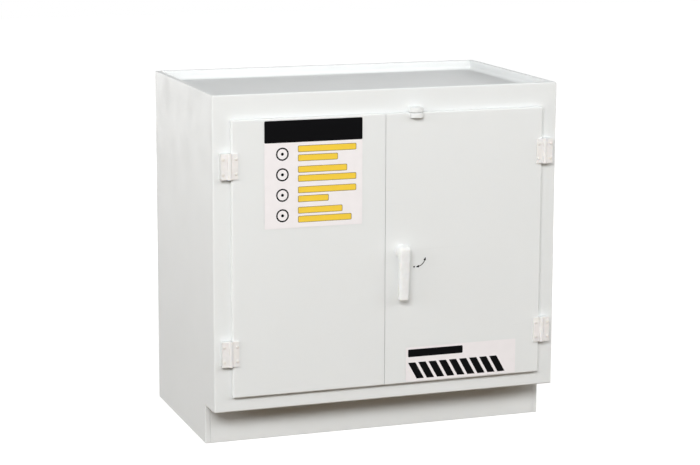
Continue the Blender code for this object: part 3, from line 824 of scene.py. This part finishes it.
def add_ears():
    """Padlock ears with a round nose, full soft edges and a chamfered shackle hole."""
    for node in ("frame_padlock_ear", "door_padlock_ear"):
        low, high = corners(node)
        middle, radius = (low.x + high.x) / 2, EAR_WIDTH / 2
        left, right, deep = middle - radius, middle + radius, high.y + EAR_ROUND * 2
        nose = arc((middle, low.y + radius), radius, 0, -pi, ROUND_SIDES // 2)
        shape = prism([(right, deep), *nose, (left, deep)], low.z, high.z, "Z")
        beyond = box((left - OVERRUN, high.y, low.z - OVERRUN),
                     (right + OVERRUN, deep + OVERRUN, high.z + OVERRUN))
        bore, wide, thick = SHACKLE_HOLE_RADIUS, SHACKLE_HOLE_RADIUS + OVERRUN, high.z - low.z
        profile = [(0, -OVERRUN), (wide, -OVERRUN), (bore, HOLE_CHAMFER), (bore, thick - HOLE_CHAMFER),
                   (wide, thick + OVERRUN), (0, thick + OVERRUN)]
        hole = turned(profile, (middle, low.y + SHACKLE_HOLE_WALL + bore, low.z), "Z", SMALL_SIDES)
        refine(node, worked(shape, [EAR_ROUND, beyond, hole]))


def node_shape(node):
    """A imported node's mesh with its facets joined again."""
    shape = bmesh.new()
    shape.from_mesh(frame["nodes"][node].data)
    bmesh.ops.remove_doubles(shape, verts=shape.verts, dist=WELD_DISTANCE)
    bmesh.ops.dissolve_limit(shape, angle_limit=FLAT_ANGLE, verts=shape.verts, edges=shape.edges)
    return shape


def knob_mesh():
    """The slide bolt's knob: a waist, and a head with a round rim and a nearly flat end."""
    low, high = corners("bolt_knob")
    (across, along), (out, rise) = KNOB_RIM_MIDDLE_SHARES, KNOB_RIM_REACH_SHARES
    rim = [(across + out * sin(pi * turn), along - rise * cos(pi * turn)) for turn in KNOB_RIM_TURNS]
    shares = [(0, 0), *KNOB_WAIST_SHARES, *rim, KNOB_END_SHARES, (0, 1)]
    radius, length = (high.x - low.x) / 2, high.y - low.y
    profile = [(radius * radius_share, length * length_share) for radius_share, length_share in shares]
    middle = centre_of("bolt_knob")
    return worked(turned(profile, (middle.x, low.y, middle.z), "Y", SMALL_SIDES))


def add_slide_bolt():
    """The slide bolt behind the left door: base, bridges, bolt and knob."""
    plain_panel("bolt_base", FITTING_ROUND * 2)
    plain_panel("slide_bolt", FITTING_ROUND * 2)
    for node in ("bolt_lower_bridge", "bolt_upper_bridge"):
        refine(node, worked(node_shape(node), [FITTING_ROUND]))
    refine("bolt_knob", knob_mesh())


def ripple(along, length):
    """How far a bead's face stands out, and how far its edges drift, at a distance along it."""
    fade = min(1, along / BEAD_FADE, (length - along) / BEAD_FADE)
    wave = abs(sin(pi * along / RIPPLE_PITCH))
    drift = noise.noise(Vector((along * DRIFT_SCALE, *DRIFT_PLACE)))
    return fade * RIPPLE_RISE * wave, fade * DRIFT_REACH * drift


def bead_section(leg, face, drift):
    """A bead's hollow section in a corner: points along both faces, from the corner to the edges."""
    reach = leg + drift
    points = [(0, 0)]
    for index, (across, up) in enumerate(arc((reach, reach), reach, pi * 3 / 2, pi, BEAD_STEPS)):
        out = face * sin(pi * index / BEAD_STEPS)
        points.append((across + out, up + out))
    return points


def loop_bead(node):
    """A rippled bead run round inside the case, with mitred corners, at a node's place."""
    low, high = corners(node)
    leg = high.z - low.z
    turns = [(low.xy, (1, 1)), (Vector((high.x, low.y)), (-1, 1)), (high.xy, (-1, -1)),
             (Vector((low.x, high.y)), (1, -1))]
    rings = []
    for (corner, inward), (after, inward_after) in zip(turns, turns[1:] + turns[:1]):
        length = (after - corner).length
        count = round(length / BEAD_STATION)
        for step in range(count):
            share = step / count
            ring = []
            for across, up in bead_section(leg, *ripple(share * length, length)):
                spot = (corner + across * Vector(inward)).lerp(after + across * Vector(inward_after), share)
                ring.append((spot.x, spot.y, low.z + up))
            rings.append(ring)
    refine(node, worked(skin(rings, closed=True)), ("weld",))


def corner_bead(name, start, stop, first, second):
    """A rippled bead in the corner between two walls, from start to stop, on the case."""
    start, stop, first, second = Vector(start), Vector(stop), Vector(first), Vector(second)
    length = (stop - start).length
    count = round(length / BEAD_STATION)
    rings = []
    for step in range(count + 1):
        share = step / count
        section = bead_section(CORNER_BEAD, *ripple(share * length, length))
        rings.append([start.lerp(stop, share) + first * across + second * up for across, up in section])
    add_piece(name, worked(skin(rings)), "cabinet", "white_polyethylene", materials=("weld",))


def add_beads():
    """Beads round the recess and the sump, and up the inside corners of the case."""
    loop_bead("recess_weld")
    loop_bead("sump_weld")
    low, high = corners("sump_weld")[1].z, corners("top_panel")[0].z
    front, back = corners("face_frame")[1].y, corners("back_panel")[0].y
    under, over = corners("shelf_cleat_back")[0].z, corners("shelf")[1].z
    for side, sign in (("left", -1), ("right", 1)):
        x = sign * min(abs(corner.x) for corner in corners(f"side_panel_{side}"))
        inward = (-sign, 0, 0)
        corner_bead(f"{side}_front_bead", (x, front, low), (x, front, high), inward, (0, 1, 0))
        for level, (start, stop) in {"lower": (low, under), "upper": (over, high)}.items():
            name = f"{side}_{level}_back_bead"
            corner_bead(name, (x, back, start), (x, back, stop), inward, (0, -1, 0))


def rounded(left, right, low, high, radius):
    """The outline of an upright rectangle with round corners."""
    spots = ((right - radius, high - radius), (left + radius, high - radius), (left + radius, low + radius),
             (right - radius, low + radius))
    outline = []
    for index, spot in enumerate(spots):
        outline += arc(spot, radius, index * pi / 2, (index + 1) * pi / 2, EDGE_STEPS)
    return outline


def add_sheet(shape, outline, front, back, key, keys):
    """Add a flat outline of film or ink to a label's shape, in one of the label's finishes."""
    layer = prism(outline, back, front, "Y")
    for face in layer.faces:
        face.material_index = keys.index(key)
    mesh = bpy.data.meshes.new("layer")
    bmesh.ops.recalc_face_normals(layer, faces=layer.faces)
    layer.to_mesh(mesh)
    layer.free()
    shape.from_mesh(mesh)
    bpy.data.meshes.remove(mesh)


def finish_label(name, shape, body, keys):
    """Show a label's layers as one piece."""
    mesh = bpy.data.meshes.new(name)
    shape.to_mesh(mesh)
    shape.free()
    add_piece(name, mesh, body, materials=keys)


def add_upper_label():
    """A plain label on the left door: a black band over rows of bars, each with a ringed spot."""
    keys = ["vinyl", "black", "amber", "olive"]
    left, right, low, high = UPPER_LABEL
    door = corners("left_door")[0].y
    film = door - FILM
    shape = bmesh.new()
    add_sheet(shape, rounded(left, right, low, high, FILM_CORNER), film, door + FILM, "vinyl", keys)

    def ink(key, start, stop, bottom, top, radius, layer=1):
        """Print a rectangle with round corners, over the layers before it."""
        add_sheet(shape, rounded(start, stop, bottom, top, radius), film - INK * layer, film + INK, key, keys)

    ink("black", left, right, UPPER_BAND_LOW, high, FILM_CORNER)
    for row, bars in enumerate(ROW_BARS):
        middle = UPPER_BAND_LOW - ROW_MARGIN - row * ROW_PITCH - (BAR_HEIGHT + BAR_PITCH) / 2
        for bar_middle, (start, stop) in zip((middle + BAR_PITCH / 2, middle - BAR_PITCH / 2), bars):
            start, stop = left + start, left + stop
            bottom, top = bar_middle - BAR_HEIGHT / 2, bar_middle + BAR_HEIGHT / 2
            ink("olive", start, stop, bottom, top, FILM_CORNER)
            ink("amber", start + BAR_OUTLINE, stop - BAR_OUTLINE, bottom + BAR_OUTLINE, top - BAR_OUTLINE,
                FILM_CORNER - BAR_OUTLINE / 2, 2)
        spot = left + SPOT_LEFT
        discs = (("black", SPOT_RADIUS), ("vinyl", SPOT_RADIUS - SPOT_RING), ("black", SPOT_DOT_RADIUS))
        for layer, (key, radius) in enumerate(discs, 1):
            ink(key, spot - radius, spot + radius, middle - radius, middle + radius,
                radius * SPOT_ROUND_SHARE, layer)
    finish_label("left_door_label", shape, "left_door_assembly", keys)


def add_lower_label():
    """A plain label on the right door: slanted black stripes under a black bar."""
    keys = ["vinyl", "black"]
    left, right, low, high = LOWER_LABEL
    door = corners("right_door")[0].y
    film = door - FILM
    shape = bmesh.new()
    add_sheet(shape, rounded(left, right, low, high, FILM_CORNER), film, door + FILM, "vinyl", keys)
    start, bottom = left + LABEL_MARGIN, low + LABEL_MARGIN
    while start + STRIPE_SLANT + STRIPE_WIDTH < right - LABEL_MARGIN:
        stripe = [(start + STRIPE_SLANT, bottom), (start + STRIPE_SLANT + STRIPE_WIDTH, bottom),
                  (start + STRIPE_WIDTH, bottom + STRIPE_RISE), (start, bottom + STRIPE_RISE)]
        add_sheet(shape, stripe, film - INK, film + INK, "black", keys)
        start += STRIPE_WIDTH + STRIPE_GAP
    start, top = left + LABEL_MARGIN, high - LABEL_MARGIN
    bar = rounded(start, start + TOP_BAR_LENGTH, top - TOP_BAR_RISE, top, FILM_CORNER)
    add_sheet(shape, bar, film - INK, film + INK, "black", keys)
    finish_label("right_door_label", shape, "right_door_assembly", keys)


def add_turn_mark():
    """A thin printed arc beside the lever, with a head at each end, that shows which way it turns."""
    door = corners("right_door")[0].y
    shape = bmesh.new()
    outer = arc(MARK_CENTRE, MARK_RADIUS + MARK_LINE / 2, *MARK_ANGLES, SMALL_SIDES)
    inner = arc(MARK_CENTRE, MARK_RADIUS - MARK_LINE / 2, *MARK_ANGLES, SMALL_SIDES)
    outlines = [outer + inner[::-1]]
    for angle, sign in zip(MARK_ANGLES, (-1, 1)):
        out = Vector((cos(angle), sin(angle)))
        along = Vector((-out.y, out.x)) * sign
        root = Vector(MARK_CENTRE) + out * MARK_RADIUS
        half = out * MARK_HEAD / 2
        outlines.append([root + half, root - half, root + along * MARK_HEAD_LENGTH])
    outlines.append(arc(MARK_DOT, MARK_DOT_RADIUS, 0, 2 * pi, MARK_DOT_SIDES)[:-1])
    for outline in outlines:
        add_sheet(shape, outline, door - INK, door + INK, "black", ["black"])
    finish_label("turn_mark", shape, "right_door_assembly", ["black"])


def direction(azimuth, elevation):
    """The unit vector towards an azimuth, from the front to the right, and an elevation."""
    return Vector((sin(azimuth) * cos(elevation), -cos(azimuth) * cos(elevation), sin(elevation)))


def add_camera():
    """The camera that was fitted to the photograph, with a small shift."""
    back = direction(CAMERA_AZIMUTH, CAMERA_ELEVATION)
    level = Vector((cos(CAMERA_AZIMUTH), sin(CAMERA_AZIMUTH), 0))
    upright = back.cross(level)
    right = level * cos(CAMERA_ROLL) + upright * sin(CAMERA_ROLL)
    up = upright * cos(CAMERA_ROLL) - level * sin(CAMERA_ROLL)
    facing = Matrix((right, up, back)).transposed().to_4x4()
    data = bpy.data.cameras.new("camera")
    data.sensor_width = SENSOR_WIDTH_MM
    data.lens = FOCAL_LENGTH_PX / IMAGE_WIDTH_PX * SENSOR_WIDTH_MM
    data.shift_x = (IMAGE_WIDTH_PX / 2 - PRINCIPAL_POINT_PX[0]) / IMAGE_WIDTH_PX
    data.shift_y = (PRINCIPAL_POINT_PX[1] - IMAGE_HEIGHT_PX / 2) / IMAGE_WIDTH_PX
    camera = bpy.data.objects.new("camera", data)
    camera.matrix_world = Matrix.Translation(CAMERA_PLACE) @ facing
    bpy.context.scene.collection.objects.link(camera)
    bpy.context.scene.camera = camera


def add_lamps():
    """Wide soft boxes round the front, and weaker ones behind."""
    for name, (azimuth, elevation, distance, sides, power) in LAMPS.items():
        data = bpy.data.lights.new(name, "AREA")
        data.shape = "RECTANGLE"
        data.size, data.size_y = sides
        data.energy = power
        lamp = bpy.data.objects.new(name, data)
        back = direction(radians(azimuth), radians(elevation))
        lamp.location = Vector(LAMP_AIM) + back * distance
        lamp.rotation_euler = (-back).to_track_quat("-Z", "Y").to_euler()
        bpy.context.scene.collection.objects.link(lamp)


def seen_directly(tree):
    """1 on camera, glossy and transmission rays, and 0 on those that carry light between surfaces."""
    path = add_node(tree, "LightPath").outputs
    either = add_node(tree, "Math", {0: path["Is Camera Ray"], 1: path["Is Glossy Ray"]}, operation="MAXIMUM")
    inputs = {0: either.outputs["Value"], 1: path["Is Transmission Ray"]}
    return add_node(tree, "Math", inputs, operation="MAXIMUM").outputs["Value"]


def add_world():
    """A white background that lights the cabinet only weakly."""
    world = bpy.data.worlds.new("studio")
    world.use_nodes = True
    bpy.context.scene.world = world
    tree = world.node_tree
    strength = remap(tree, seen_directly(tree), 0, 1, WORLD_STRENGTH, 1)
    feed(tree, tree.nodes["Background"], {"Color": (1, 1, 1, 1), "Strength": strength})


def floor_material():
    """White where it is seen, with the shadows that fall on it, and dull where it sends light back."""
    made = bpy.data.materials.new("floor")
    made.use_nodes = True
    tree = made.node_tree
    tree.nodes.remove(tree.nodes["Principled BSDF"])
    place = add_node(tree, "TexCoord").outputs["Object"]
    away = add_node(tree, "VectorMath", {0: place}, operation="LENGTH").outputs["Value"]
    strength = remap(tree, away, FLOOR_NEAR, FLOOR_FAR, FLOOR_NEAR_GLOW, FLOOR_FAR_GLOW)
    glow = add_node(tree, "Emission", {"Color": (1, 1, 1, 1), "Strength": strength})
    lit = add_node(tree, "BsdfDiffuse", {"Color": (FLOOR_LIT, FLOOR_LIT, FLOOR_LIT, 1)})
    shown = add_node(tree, "AddShader", {0: glow.outputs[0], 1: lit.outputs[0]})
    dull = add_node(tree, "BsdfDiffuse", {"Color": (*FLOOR_BOUNCE, 1)})
    mixed = add_node(tree, "MixShader", {0: seen_directly(tree), 1: dull.outputs[0], 2: shown.outputs[0]})
    feed(tree, tree.nodes["Material Output"], {"Surface": mixed.outputs[0]})
    return made


def add_floor():
    """A plain floor that keeps the cabinet's shadow."""
    reach = FLOOR_REACH
    mesh = bpy.data.meshes.new("floor")
    mesh.from_pydata([(-reach, -reach, 0), (reach, -reach, 0), (reach, reach, 0), (-reach, reach, 0)],
                     [], [(0, 1, 2, 3)])
    mesh.materials.append(floor_material())
    floor = bpy.data.objects.new("floor", mesh)
    bpy.context.scene.collection.objects.link(floor)


def main():
    """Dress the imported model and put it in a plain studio."""
    bpy.context.scene.view_settings.view_transform = "Standard"
    add_camera()
    add_lamps()
    add_world()
    add_floor()
    dress_nodes()
    add_case()
    add_doors()
    add_hinges()
    add_latch()
    add_ears()
    add_slide_bolt()
    add_beads()
    add_upper_label()
    add_lower_label()
    add_turn_mark()


main()
